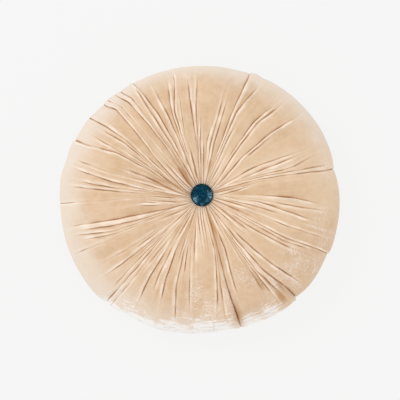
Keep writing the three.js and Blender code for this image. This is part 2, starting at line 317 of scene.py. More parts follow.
def crease_lines(rows, out, height):
    """Bearing, depth and room of every crease on every ring of points."""
    table = np.array(CREASES, dtype=float)
    radius = (out * NOMINAL_REACH)[:, None]
    chance = np.random.default_rng(SEED)

    # A straight line that passes the axis at a distance has a bearing that is even in 1 / radius.
    closeness = 1 / np.maximum(radius[:, 0], AXIS_EDGE)
    stations = 1 / np.array((SEAT_EDGE,) + STATIONS)[::-1]
    seated_at = table[:, :1] + ON_TO_SEAT * (table[:, :1] - table[:, 1:2])
    stops_of = np.concatenate([seated_at, table[:, :4]], axis=1)
    own = np.stack([np.interp(closeness, stations, stops[::-1]) for stops in stops_of], axis=1)
    ends = len(EASE) // 2
    framed = np.concatenate([own[:1]] * ends + [own] + [own[-1:]] * ends)
    own = sum(share * framed[k : k + len(own)] for k, share in enumerate(np.array(EASE) / sum(EASE)))
    length = np.array(WAVES)[:, None] * chance.uniform(*WAVES_VARY, (len(WAVES), len(table)))
    phase = chance.uniform(0, 2 * np.pi, (len(WAVES), len(table)))
    waves = sum(np.sin(2 * np.pi * radius / length[k] + phase[k]) for k in range(len(WAVES))) / len(WAVES)
    own = own + np.degrees(waves * WANDER / np.maximum(radius, STATIONS[1]))
    hooked = (table[:, 5] * MM > RIM_REACHED) * np.exp(-(((table[:, 3] - HOOK_AT) / HOOK_WIDTH) ** 2))
    own = own + HOOK * hooked * smooth(radius, *HOOK_ZONE)
    closest = CLOSEST * np.arange(len(table))
    own = np.maximum.accumulate(own - closest, axis=1) + closest
    even = table[0, 1] + np.arange(len(table)) * 360 / len(table)
    even = even + BACK_STRAY * chance.uniform(-1, 1, len(table))
    past_rim = (RIM_ROW - rows)[:, None]
    turned = smooth(past_rim, 0, ROWS_TO_EVEN)
    bearing = own * (1 - turned) + even * turned

    way = way_along(out, height)[:, None]
    spread = np.where(past_rim > 0, NOMINAL_REACH + way[BACK_RINGS] - way, radius)

    first, last, deep = (table[:, k] * MM for k in (4, 5, 6))
    inner = INNER_SHARE * chance.uniform(*INNER_VARY, len(table)) * smooth(radius, *INNER_START)
    begun = inner + (1 - inner) * smooth(radius, first - FADE_IN / 4, first + FADE_IN)
    over = last > RIM_REACHED
    fades_from = last - np.where(over, FADE_OVER, FADE_OUT)
    ended = smooth(spread, fades_from, last + np.where(over, FADE_OVER, 0))
    rest = LEFT_OVER * (1 - smooth(radius, last, last + LEFT_OVER_FADE))
    own_depth = deep * begun * (1 - ended + ended * rest)
    chosen = pleats_at_the_button(table)
    pleat_depth = PLEAT_DEPTH * chosen * chance.uniform(*PLEATS_VARY, len(table))
    own_depth = np.maximum(own_depth, pleat_depth * (1 - smooth(radius, *PLEAT_END)))
    uneven = 1 + UNEVEN * np.sin(2 * np.pi * radius / (UNEVEN_LENGTH * length[1]) + phase[2])

    room = np.radians(gap_round(bearing))
    kept = np.flatnonzero(chosen)
    pleat_room = room.copy()
    pleat_room[:, kept] = np.radians(gap_round(bearing[:, kept]))
    by_button = 1 - smooth(radius, *PLEAT_END)
    room = (room + (pleat_room - room) * by_button) * radius
    tight = TIGHT_IN + (TIGHT_OUT - TIGHT_IN) * smooth(radius, *PLEAT_END)
    own_depth = np.minimum(own_depth * uneven, room * tight)

    near_rim = smooth(radius, *RIM_ZONE)
    over_rim = own_depth * np.where(over, RIM_SHARE, LEFT_OVER)
    own_depth = own_depth * (1 - near_rim) + over_rim * near_rim
    back_length = chance.uniform(*BACK_LENGTHS, len(table))
    back = BACK_DEPTH * chance.uniform(*BACK_DEPTHS_VARY, len(table))
    back = back * np.where(np.arange(len(table)) % 2, 1, BACK_SHALLOWER)
    back = back * (1 - smooth(radius, BACK_FADE * back_length, back_length))
    even_depth = np.minimum(back, room * TIGHT_IN)
    deepened = smooth(past_rim, 0, ROWS_TO_BACK)
    depth = own_depth * (1 - deepened) + even_depth * deepened
    return bearing, depth, room


def crowded(share):
    """Even shares, moved towards 0 and 1."""
    once = np.sin(np.pi * (share - 0.5))
    twice = np.sin(np.pi / 2 * once)
    return 0.5 + 0.25 * (once + twice)


def share_out_columns():
    """For each column of points, the crease before it and its share of the way to the next one."""
    table = np.array(CREASES, dtype=float)
    width = np.diff(np.append(table[:, 2], table[0, 2] + 360))
    spare = COVER_COLUMNS - LEAST_COLUMNS * len(table)
    want = LEAST_COLUMNS + spare * width / width.sum()
    count = np.floor(want).astype(int)
    for k in np.argsort(count - want)[: COVER_COLUMNS - count.sum()]:
        count[k] += 1
    before = np.repeat(np.arange(len(table)), count)
    share = np.concatenate([crowded(np.arange(n) / n) for n in count])
    return before, share


rows, out, height = section_rows()
bearing_of, depth_of, room_of = crease_lines(rows, out, height)
before, share = share_out_columns()
wrapped = np.concatenate([bearing_of, bearing_of[:, :1] + 360], axis=1)
left = wrapped[:, before]
right = wrapped[:, before + 1]
bearing = left + (right - left) * share
radius = out[:, None] * reach_at(bearing)

# The filling presses the cloth out between its folds. A coarse pad is cut from the same rings with
# a little slack, held along its folds, at the buttons and on the floor, and blown up as cloth.
# How far it swells more than its ring does on average is worked into the cover.
JOIN_WITHIN = 0.001 * MM
PAD_COLUMNS = 240
PAD_RINGS_APART = 2
PAD_FOLD_DEPTH = 6 * MM
PAD_FOLD_WIDTH = 4 * MM
PAD_SEAT = (38 * MM, 60 * MM)
PAD_ON_FLOOR = 1 * MM
PAD_SLACK = 0.03
PAD_STIFFNESS = 8
PAD_MASS = 0.3
PAD_PRESSURE = 4
PAD_QUALITY = 5
PAD_STEPS = 20
PAD_SMOOTHINGS = 4
SWELL_MOST = 3.0 * MM
NO_LENGTH = 1e-9


def point_places(piece):
    """The places of all points of a piece, one row each."""
    places = np.empty(len(piece.data.vertices) * 3)
    piece.data.vertices.foreach_get("co", places)
    return places.reshape(-1, 3)


def cut_cloth(columns, rings, places):
    """A flat width of cloth carried to its places, and the ring and column of each of its points."""
    bpy.ops.object.select_all(action="DESELECT")
    bpy.ops.mesh.primitive_grid_add(x_subdivisions=columns, y_subdivisions=rings, size=2)
    cloth = bpy.context.object
    flat = point_places(cloth)
    column = np.rint((flat[:, 0] + 1) / 2 * columns).astype(int) % columns
    ring = np.rint((flat[:, 1] + 1) / 2 * rings).astype(int)
    cloth.data.vertices.foreach_set("co", places[ring, column].ravel())
    return cloth, ring, column


facing = np.stack([np.gradient(height), -np.gradient(out * NOMINAL_REACH)])
facing = facing / np.maximum(np.hypot(*facing), NO_LENGTH)
pad_rings = np.arange(0, len(rows), PAD_RINGS_APART)
pad_bearing = np.arange(PAD_COLUMNS) * 360 / PAD_COLUMNS
pad_turn = np.radians(pad_bearing)
pad_radius = out[pad_rings, None] * reach_at(pad_bearing)
pad_height = np.maximum(height[pad_rings, None], 0) + 0 * pad_radius
pad_places = np.stack([pad_radius * np.cos(pad_turn), pad_radius * np.sin(pad_turn), pad_height], axis=2)

held = np.maximum(1 - smooth(pad_radius, *PAD_SEAT), pad_height < PAD_ON_FLOOR)
for k in range(len(CREASES)):
    off_fold = np.radians(degrees_past(bearing_of[pad_rings, k : k + 1], pad_bearing)) * pad_radius
    firmness = np.clip(depth_of[pad_rings, k : k + 1] / PAD_FOLD_DEPTH, 0, 1)
    held = np.maximum(held, firmness * np.exp(-((off_fold / PAD_FOLD_WIDTH) ** 2)))

# Joining the pad's side seam renumbers its points, so each of them keeps the number of its place.
pad, pad_ring, pad_column = cut_cloth(PAD_COLUMNS, len(pad_rings) - 1, pad_places)
cut_from = pad.data.attributes.new("cut_from", "INT", "POINT")
cut_from.data.foreach_set("value", (pad_ring * PAD_COLUMNS + pad_column).astype(np.int32))
sewn = pad.vertex_groups.new(name="sewn")
for vertex, weight in enumerate(held[pad_ring, pad_column]):
    sewn.add([vertex], float(weight), "REPLACE")
bpy.ops.object.mode_set(mode="EDIT")
bpy.ops.mesh.select_all(action="SELECT")
bpy.ops.mesh.remove_doubles(threshold=JOIN_WITHIN)
bpy.ops.mesh.normals_make_consistent(inside=False)
bpy.ops.object.mode_set(mode="OBJECT")

blown = pad.modifiers.new("blown", "CLOTH")
blown.settings.quality = PAD_QUALITY
blown.settings.mass = PAD_MASS
blown.settings.bending_stiffness = PAD_STIFFNESS
blown.settings.use_pressure = True
blown.settings.uniform_pressure_force = PAD_PRESSURE
blown.settings.shrink_min = -PAD_SLACK
blown.settings.effector_weights.gravity = 0
blown.settings.vertex_group_mass = "sewn"
blown.point_cache.frame_start = 1
blown.point_cache.frame_end = PAD_STEPS
for step in range(1, PAD_STEPS + 1):
    bpy.context.scene.frame_set(step)
bpy.ops.object.modifier_apply(modifier="blown")
blown_places = point_places(pad)
cut_at = np.empty(len(blown_places), dtype=np.int32)
pad.data.attributes["cut_from"].data.foreach_get("value", cut_at)
bpy.data.meshes.remove(pad.data)
bpy.context.scene.frame_set(1)

outwards = np.hypot(blown_places[:, 0], blown_places[:, 1]) - pad_radius.ravel()[cut_at]
upwards = blown_places[:, 2] - pad_height.ravel()[cut_at]
at_ring = pad_rings[cut_at // PAD_COLUMNS]
swell = np.zeros(pad_radius.size)
swell[cut_at] = outwards * facing[0][at_ring] + upwards * facing[1][at_ring]
swell = swell.reshape(pad_radius.shape)
for smoothing in range(PAD_SMOOTHINGS):
    swell = (np.roll(swell, 1, axis=1) + 2 * swell + np.roll(swell, -1, axis=1)) / 4
    swell[1:-1] = (swell[:-2] + 2 * swell[1:-1] + swell[2:]) / 4
swell = np.clip(swell - swell.mean(axis=1, keepdims=True), -SWELL_MOST, SWELL_MOST)

# One crease across: a narrow valley in a wider sag, with a roll of cloth on each side of it. The
# side that rolls over has the higher roll, stands higher as a whole, and leans towards the crease.
VALLEY = 0.22
VALLEY_WIDTH = 1.4 * MM
VALLEY_ROOM = 0.2
SAG = 0.3
SAG_WIDTH = 7 * MM
SAG_ROOM = 0.55
ROLL_HEIGHT = 0.45
ROLL_AWAY = 1.8
ROLL_WIDTH = 1.0
EVEN_LIP = 0.5
STEP = 0.24
STEP_WIDTH = 9 * MM
NARROWEST = 0.2 * MM
SLANT = 0.25
SEAT_SOFT = 3 * MM
# How strongly it is painted: painted shade in its valley and painted highlights on its rolls, more so
# over some stretches of it than over others, and fully so where it is as deep as it can be.
SHADE_WIDTH = 0.6
PALE_ROLL = 1.5
PALE_WIDTH = 1.3
PALE_POWER = 0.7
PALE_EVEN = 0.1
PALE_LIP = 1.1
FULL_DEPTH = 6.5 * MM
FULL_ROOM = 0.4
LEAST_ROOM = 0.001 * MM
STRETCHES = (26 * MM, 43 * MM, 71 * MM)
SHOWS = 0.7
SHOWS_MORE = 0.68
SHADE_RANGE = (0.12, 1.3)
PALE_RANGE = (0.62, 1.2)
SHADE_BY_BUTTON = 0.35
PALER_BY_BUTTON = 0.5
PALE_BY_BUTTON = 0.1
PALE_HUB = (SEAT_EDGE, STATIONS[0] * 1.4)


def by_stretches(phases):
    """How strongly a crease's painted shade and highlights show, by chance: phases sets where its
    stretches lie.
    """
    waves = sum(np.sin(2 * np.pi * radius / n + phase) for n, phase in zip(STRETCHES, phases))
    return SHOWS + SHOWS_MORE * waves / 2


slants = np.random.default_rng(SEED).choice([-SLANT, SLANT], len(CREASES))
show_at = np.random.default_rng(SEED + 2).uniform(0, 2 * np.pi, (2, len(CREASES), len(STRETCHES)))
by_button = 1 - smooth(radius, *PLEAT_END)
lift = np.zeros_like(bearing)
sideways = np.zeros_like(bearing)
painted_shade = np.zeros_like(bearing)
pale = np.zeros_like(bearing)
for k, crease in enumerate(CREASES):
    lean = crease[7] or slants[k]
    room = room_of[:, k : k + 1]
    depth = depth_of[:, k : k + 1]
    away = np.radians(degrees_past(bearing_of[:, k : k + 1], bearing)) * radius
    gap = np.abs(away)
    width = np.clip(room * VALLEY_ROOM, NARROWEST, VALLEY_WIDTH)
    wide = np.clip(room * SAG_ROOM, NARROWEST, SAG_WIDTH)
    lip = np.where(away < 0, EVEN_LIP + lean, EVEN_LIP - lean)
    rolled = lip * np.exp(-(((gap / width - ROLL_AWAY) / ROLL_WIDTH) ** 2))
    step = (lip - EVEN_LIP) * STEP * np.exp(-gap / np.clip(room, NARROWEST, STEP_WIDTH))
    sunk = VALLEY * np.exp(-gap / width) + SAG * np.exp(-gap / wide)
    lift += depth * (ROLL_HEIGHT * rolled + step - sunk)
    strong = np.clip(depth / np.clip(FULL_ROOM * room, LEAST_ROOM, FULL_DEPTH), 0, 1)
    near = gap / width
    rolls_over = width * strong * near * np.exp(1 - near)
    sideways += np.where(away < 0, max(lean, 0), -max(-lean, 0)) * rolls_over
    shade_strength = np.clip(by_stretches(show_at[0, k]) + SHADE_BY_BUTTON * by_button, *SHADE_RANGE)
    paler = np.clip(by_stretches(show_at[1, k]) + PALER_BY_BUTTON * by_button, *PALE_RANGE)
    # Painted shade along the valley of each crease.
    painted_shade = np.maximum(painted_shade, strong * shade_strength * np.exp(-((near / SHADE_WIDTH) ** 2)))
    lit = np.exp(-(((near - PALE_ROLL) / PALE_WIDTH) ** 2))
    # Painted highlights on the rolls beside each crease.
    pale = np.maximum(pale, strong**PALE_POWER * (PALE_EVEN + PALE_LIP * lip) * lit * paler)
# Painted light round the button, to lift the shade of its hollow.
pale = pale + PALE_BY_BUTTON * (1 - smooth(radius, *PALE_HUB))

pad_row = np.arange(len(rows)) / PAD_RINGS_APART
by_ring = np.stack([through(one, pad_row) for one in swell.T], axis=1)
pad_turn_of = np.mod(bearing, 360) / 360 * PAD_COLUMNS
swelled = np.stack([round_the_circle(one, at) for one, at in zip(by_ring, pad_turn_of)])
seated = smooth(out[:, None] * NOMINAL_REACH, SEAT_RADIUS, SEAT_RADIUS + SEAT_SOFT)
lift = (lift + swelled) * seated
bearing = bearing + np.degrees(sideways / np.maximum(radius, SEAT_RADIUS))

radius = radius + lift * facing[0][:, None]
z = np.maximum(height[:, None] + lift * facing[1][:, None], 0)

low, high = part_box("front_button")
axis = ((low[0] + high[0]) / 2, (low[1] + high[1]) / 2)
x = axis[0] + radius * np.cos(np.radians(bearing))
y = axis[1] + radius * np.sin(np.radians(bearing))

# A flat width of cloth becomes the tube: its sides are joined, and its two edges close at the axis.
ring_count = BACK_RINGS + FRONT_RINGS
cover, ring, column = cut_cloth(COVER_COLUMNS, ring_count, np.stack([x, y, z], axis=2))
cover.name = "cover_velvet"


def name_spots(piece, name, values):
    """Stores a number for each point of the piece, for its material to read."""
    spots = piece.data.attributes.new(name, "FLOAT", "POINT")
    spots.data.foreach_set("value", values.ravel().astype(np.float32))


def name_places(piece, name, places):
    """Stores a place for each point of the piece, for its material to read."""
    spots = piece.data.attributes.new(name, "FLOAT_VECTOR", "POINT")
    spots.data.foreach_set("vector", places.ravel().astype(np.float32))


# Where the pile is crushed, along the lower rim, which also carries a painted sheen, and in patches
# on the crown: bearing, distance in millimetres, half length and half width of each along and across
# its bearing, and its strength.
FRINGE = [
    (231, 200, 12, 20, 2.0), (243, 200, 18, 34, 2.3), (258, 200, 19, 36, 2.4), (274, 198, 21, 34, 2.4),
    (291, 197, 18, 24, 2.0), (301, 192, 16, 18, 1.5), (237, 180, 14, 20, 0.7), (268, 180, 16, 30, 0.9),
    (283, 178, 12, 18, 0.8), (305, 190, 9, 10, 0.9), (327, 190, 8, 16, 0.7),
]
CRUSHED = [
    (237, 172, 14, 24, 0.9), (274, 163, 30, 18, 1.0), (262, 168, 18, 20, 0.8), (266, 135, 32, 15, 0.9),
    (300, 182, 16, 22, 0.9), (309, 160, 15, 20, 0.8), (318, 157, 15, 22, 0.95), (324, 162, 15, 20, 0.95),
    (328, 147, 9, 12, 0.9), (326, 176, 12, 18, 0.8), (317, 178, 14, 9, 0.9), (344, 170, 30, 3, 1.1),
    (338, 181, 16, 5, 1.0), (350, 168, 14, 16, 0.7), (354, 176, 14, 10, 0.6), (12, 184, 14, 22, 0.8),
    (26, 182, 12, 14, 0.9), (38, 184, 12, 12, 0.6), (342, 188, 14, 12, 0.7), (330, 188, 12, 14, 0.7),
    (64, 188, 10, 12, 0.9), (98, 182, 18, 9, 0.8), (104, 178, 18, 8, 0.8), (72, 180, 14, 8, 0.7),
    (52, 180, 12, 14, 0.6), (124, 188, 8, 22, 0.5), (140, 190, 8, 22, 0.5), (88, 188, 8, 26, 0.6),
    (296, 124, 24, 15, 0.8), (302, 138, 15, 10, 0.8), (284, 150, 30, 12, 0.8),
]
PAST_RIM_FASTER = 1.9
way = way_along(out, height)[:, None]
past_rim = PAST_RIM_FASTER * np.maximum(way[BACK_RINGS] - way, 0)
seen_radius = np.where(past_rim > 0, NOMINAL_REACH + past_rim, out[:, None] * NOMINAL_REACH)


def patch(spot_bearing, spot_radius, half_length, half_width, strength):
    """A soft patch on the cover, round or long: strength at its middle and less all round."""
    along = (seen_radius - spot_radius * MM) / (half_length * MM)
    across = np.radians(degrees_past(spot_bearing, bearing)) * spot_radius / half_width
    return strength * np.exp(-(along**2) - across**2)


fringe = np.maximum.reduce([patch(*row) for row in FRINGE])
crushed = np.maximum.reduce([patch(*row) for row in CRUSHED])

# Painted shade where the strength is over zero, and painted light where it is under: bearing,
# distance, half length, half width and strength again. The other lands between two creases are a
# little deeper or paler by chance, and carry painted shade that deepens towards one side.
PAINTED_SHADE_AND_LIGHT = [
    (132, 50, 26, 6, 1.1), (125, 66, 30, 3, 0.8), (139, 25, 6, 2.2, 2.0), (134, 33, 7, 2.4, 2.3),
    (129, 42, 8, 2.4, 1.8), (268, 70, 30, 8, -0.5), (300, 120, 40, 14, 0.5),
    (25, 60, 40, 12, -0.5), (211, 120, 50, 9, 0.5), (105, 60, 30, 4, 0.9), (285, 110, 40, 6, 0.5),
    (106, 33, 9, 1.8, 2.2), (8, 42, 8, 1.6, 2.2), (315, 57, 9, 1.8, 2.2), (114, 54, 9, 2, 1.8),
    (30, 33, 8, 1.6, 1.6), (42.5, 67, 9, 1.8, 1.8), (348.5, 40, 16, 1.2, 1.6), (238, 50, 20, 3, 1.0),
    (183, 45, 22, 3, 0.9), (290, 45, 20, 2.5, 1.1), (204, 62, 20, 2, 1.2), (160, 50, 24, 2.5, 0.9),
    (286.6, 178, 26, 6.4, 1.9), (308.1, 177, 13, 5, 2.4), (303.2, 143, 13, 2.4, 2.3),
    (312.4, 181, 15, 4, 1.7), (307.4, 148, 14, 1.5, 2.0), (310.8, 164, 12, 2.4, 2.0),
    (275.4, 186, 12, 0.9, 1.7), (281.4, 182, 8, 1.2, 1.7),
    (341, 100, 24, 5, -0.8), (80, 34, 16, 2.2, -1.2), (50, 40, 26, 3, -1.0), (352, 44, 26, 3, -1.0),
    (124, 105, 26, 40, 0.3), (271, 94, 18, 44, 0.4), (8, 182, 36, 76, -0.9), (16, 110, 90, 105, -0.65),
]
TONE_BY_BUTTON = 1.5
TONE_SPREAD = 0.3
SHADE_SLOPE = 0.5
TONE_NEAR = (50 * MM, 105 * MM)
TONE_END = (120 * MM, 185 * MM)
TONE_SOFT = 0.5
even_by_chance, shade_slope_by_chance = np.random.default_rng(SEED + 1).uniform(-1, 1, (2, len(CREASES)))
tone_and_painted_light = TONE_SPREAD + (TONE_BY_BUTTON - TONE_SPREAD) * (1 - smooth(radius, *TONE_NEAR))
# Painted shade across each land, deeper towards one side.
tone_and_painted_light = tone_and_painted_light * even_by_chance[before] + SHADE_SLOPE * shade_slope_by_chance[before] * (share - 0.5)
tone_and_painted_light = tone_and_painted_light * (1 - smooth(radius, *TONE_END)) * smooth(4 * share * (1 - share), 0, TONE_SOFT)
tone_and_painted_light = tone_and_painted_light + sum(patch(*row) for row in PAINTED_SHADE_AND_LIGHT)

# Painted light on the sides: how much the pale sheen of the pile tips shows there, painted on more
# strongly towards the left, and the slope where it starts, every 30 degrees from +X, and not at all
# on the underside.
RIM_SHEEN = [0.2, 0.9, 1.0, 1.0, 1.0, 1.0, 1.0, 1.0, 1.0, 0.9, 0.4, 0.35]
RIM_SHEEN_FROM = [40, 24, 24, 30, 28, 15, 11, 8, 9, 22, 37, 48]
RIM_SHEEN_SOFT = 36
UNDERSIDE = (110, 160)


def round_the_clock(values):
    """Values given every 30 degrees from +X, read at each point's bearing."""
    return np.interp(np.mod(bearing, 360), np.arange(13) * 30, values + values[:1])


slope = np.degrees(np.arctan2(facing[0], facing[1]))[:, None]
starts = round_the_clock(RIM_SHEEN_FROM)
painted_rim_sheen = smooth(slope, starts, starts + RIM_SHEEN_SOFT) * (1 - smooth(slope, *UNDERSIDE))
painted_rim_sheen = painted_rim_sheen * round_the_clock(RIM_SHEEN)

# The creases' painted shade and highlights show more strongly on some sides than on others: how much so
# every 30 degrees.
SHOWN = [1.4, 1.0, 1.0, 1.25, 1.35, 1.4, 1.3, 1.15, 1.1, 1.25, 1.45, 1.1]
RIDGES_SHOWN = 0.25
shown = round_the_clock(SHOWN)
ridge_shown = 1 - RIDGES_SHOWN + RIDGES_SHOWN * shown
# The painted shade of the creases, for the material.
name_spots(cover, "crease", np.clip(painted_shade * shown, 0, 1)[ring, column])
# The painted highlights beside the creases, for the material.
name_spots(cover, "painted_ridge_highlight", np.clip(pale * ridge_shown, 0, 1)[ring, column])
# The lower rim's crushed pile and painted sheen, for the material.
name_spots(cover, "fringe", fringe[ring, column])
name_spots(cover, "crushed", crushed[ring, column])
# Painted light on the sides, for the sheen of the pile tips.
name_spots(cover, "painted_rim_sheen", painted_rim_sheen[ring, column])
# The lands' random tone with their painted shade and painted light, for the material.
name_spots(cover, "tone_and_painted_light", tone_and_painted_light[ring, column])

# The lay of the cloth: round the cushion on a drum, and from the back's edge to the front's up it.
DRUM = 130 * MM
drum_turn = np.radians(bearing)
up = way + np.zeros_like(bearing)
lay = np.stack([DRUM * np.cos(drum_turn), DRUM * np.sin(drum_turn), up], axis=2)
name_places(cover, "lay", lay[ring, column])

# Only the points of the seam and of the two gathered edges are joined: the folds stay apart.
joined = (column == 0) | (ring == 0) | (ring == ring_count)
bpy.ops.object.mode_set(mode="EDIT")
bpy.ops.mesh.select_mode(type="VERT")
bpy.ops.mesh.select_all(action="DESELECT")
bpy.ops.object.mode_set(mode="OBJECT")
cover.data.vertices.foreach_set("select", joined)
bpy.ops.object.mode_set(mode="EDIT")
bpy.ops.mesh.remove_doubles(threshold=JOIN_WITHIN)
bpy.ops.mesh.select_all(action="SELECT")
bpy.ops.mesh.normals_make_consistent(inside=False)
bpy.ops.object.mode_set(mode="OBJECT")
bpy.ops.object.shade_smooth()


class Reading:
    """A number or colour read from a node. Sums and products of readings add Math nodes."""

    def __init__(self, finish, socket):
        self.finish = finish
        self.socket = socket

    def _math(self, operation, first, second):
        return self.finish.node("ShaderNodeMath", {"operation": operation}, {0: first, 1: second})

    def __add__(self, other):
        return self._math("ADD", self, other)

    def __rsub__(self, other):
        return self._math("SUBTRACT", other, self)

    def __mul__(self, other):
        return self._math("MULTIPLY", self, other)

    __radd__ = __add__
    __rmul__ = __mul__


PILE_HEIGHT = 0.6 * MM
TIPS_SHOW = 0.8


class Finish:
    """A material whose nodes are added one at a time, ending in its Principled shader."""

    def __init__(self, name):
        self.material = bpy.data.materials.new(name)
        self.material.use_nodes = True
        self.tree = self.material.node_tree
        self.shader = self.tree.nodes["Principled BSDF"]

    def node(self, kind, settings=None, inputs=None, output=0):
        made = self.tree.nodes.new(kind)
        for name, value in (settings or {}).items():
            setattr(made, name, value)
        for name, value in (inputs or {}).items():
            self.feed(made.inputs[name], value)
        return Reading(self, made.outputs[output])

    def feed(self, socket, value):
        if isinstance(value, Reading):
            self.tree.links.new(value.socket, socket)
        else:
            socket.default_value = value

    def wear(self, **sockets):
        for name, value in sockets.items():
            self.feed(self.shader.inputs[name.replace("_", " ")], value)

    def pile_tips(self, colour, share, bump):
        """The pale tips of the pile, which show where the cloth is seen edge on, as share says."""
        tips = self.tree.nodes.new("ShaderNodeBsdfPrincipled")
        self.feed(tips.inputs["Base Color"], colour)
        self.feed(tips.inputs["Roughness"], 1.0)
        self.feed(tips.inputs["Specular IOR Level"], 0.0)
        self.feed(tips.inputs["Normal"], bump)
        edge_on = self.node("ShaderNodeLayerWeight", {}, {"Blend": TIPS_SHOW, "Normal": bump}, output=1)
        mixed = self.node("ShaderNodeMixShader", {}, {0: edge_on * share})
        mix = mixed.socket.node
        self.tree.links.new(self.shader.outputs[0], mix.inputs[1])
        self.tree.links.new(tips.outputs[0], mix.inputs[2])
        self.tree.links.new(mixed.socket, self.tree.nodes["Material Output"].inputs["Surface"])

    def blend(self, share, first, second):
        colours = {"Factor": share, 6: first, 7: second}
        return self.node("ShaderNodeMix", {"data_type": "RGBA"}, colours, output=2)

    def bump(self, height, strength):
        """The relief of the pile."""
        sockets = {"Strength": strength, "Distance": PILE_HEIGHT, "Height": height}
        return self.node("ShaderNodeBump", {}, sockets)

    def place(self):
        return self.node("ShaderNodeTexCoord", output=3)

    def noise(self, where, scale, detail=2, roughness=0.5, swirl=0.0):
        inputs = {"Vector": where, "Scale": scale, "Detail": detail, "Roughness": roughness}
        return self.node("ShaderNodeTexNoise", {}, {**inputs, "Distortion": swirl})

    def range(self, value, low, high, to_low=0.0, to_high=1.0):
        inputs = {"Value": value, "From Min": low, "From Max": high, "To Min": to_low, "To Max": to_high}
        return self.node("ShaderNodeMapRange", {"interpolation_type": "SMOOTHSTEP"}, inputs)

    def spots(self, name):
        return self.node("ShaderNodeAttribute", {"attribute_name": name}, output=2)

    def lay_noise(self, stretch, scale, detail=3, roughness=0.6, swirl=0.0):
        """Noise stretched along the lay of the cloth: twice round the cushion, and up it."""
        lay_of_cloth = self.node("ShaderNodeAttribute", {"attribute_name": "lay"}, output=1)
        where = self.node("ShaderNodeMapping", {}, {"Vector": lay_of_cloth, "Scale": stretch})
        return self.noise(where, scale, detail, roughness, swirl)


# The velvet's colours: the plain cloth, its lands with painted light and shade, the painted highlights
# of its ridges and painted shade of its creases, the crushed pile, the white band of the lower rim with
# its painted sheen, and the tips of the pile that show where the sides are seen edge on.
PEACH = (0.66, 0.435, 0.255, 1)
PEACH_LIGHTER = (0.71, 0.49, 0.312, 1)
PEACH_CLOUD = (0.85, 0.66, 0.48, 1)
PALE_LAND_AND_LIGHT = (0.87, 0.68, 0.485, 1)
DEEP_LAND_AND_SHADE = (0.53, 0.30, 0.14, 1)
RIDGE_HIGHLIGHT = (1.0, 0.845, 0.70, 1)
CREASE_SHADE = (0.47, 0.24, 0.085, 1)
CRUSHED_ALL_OVER = (0.93, 0.79, 0.67, 1)
CRUSHED_FLAT = (0.55, 0.35, 0.21, 1)
CRUSHED_PALE = (0.96, 0.86, 0.79, 1)
TUFT_WHITE = (0.965, 0.915, 0.86, 1)
TUFT_SHADE = (0.60, 0.49, 0.40, 1)
TIP_LAND = (0.86, 0.75, 0.64, 1)
TIP_ON_HIGHLIGHT = (0.96, 0.86, 0.76, 1)
TIP_WHITE = (0.99, 0.97, 0.95, 1)
SHEEN_TINT = (1.0, 0.93, 0.88, 1)
# How much of each goes in.
CLOUDY_SHARE = 0.38
DRAWN_SHARE = 0.16
RIDGE_HIGHLIGHT_SHARE = 0.95
CREASE_SHADE_SHARE = 0.8
CRUSHED_SHARE = 0.14
RUBBED_SHARE = 0.66
WHITE_BAND_SHARE = 0.92
TIPS_PARTED = 0.7
# How much each noise or spot counts where several are added up.
GRAIN_COUNTS = 1.3
CRUSHED_COUNTS = 0.36
STROKES_COUNT = 0.9
HAIRS_COUNT = 1.4
FRINGE_COUNTS = 0.45


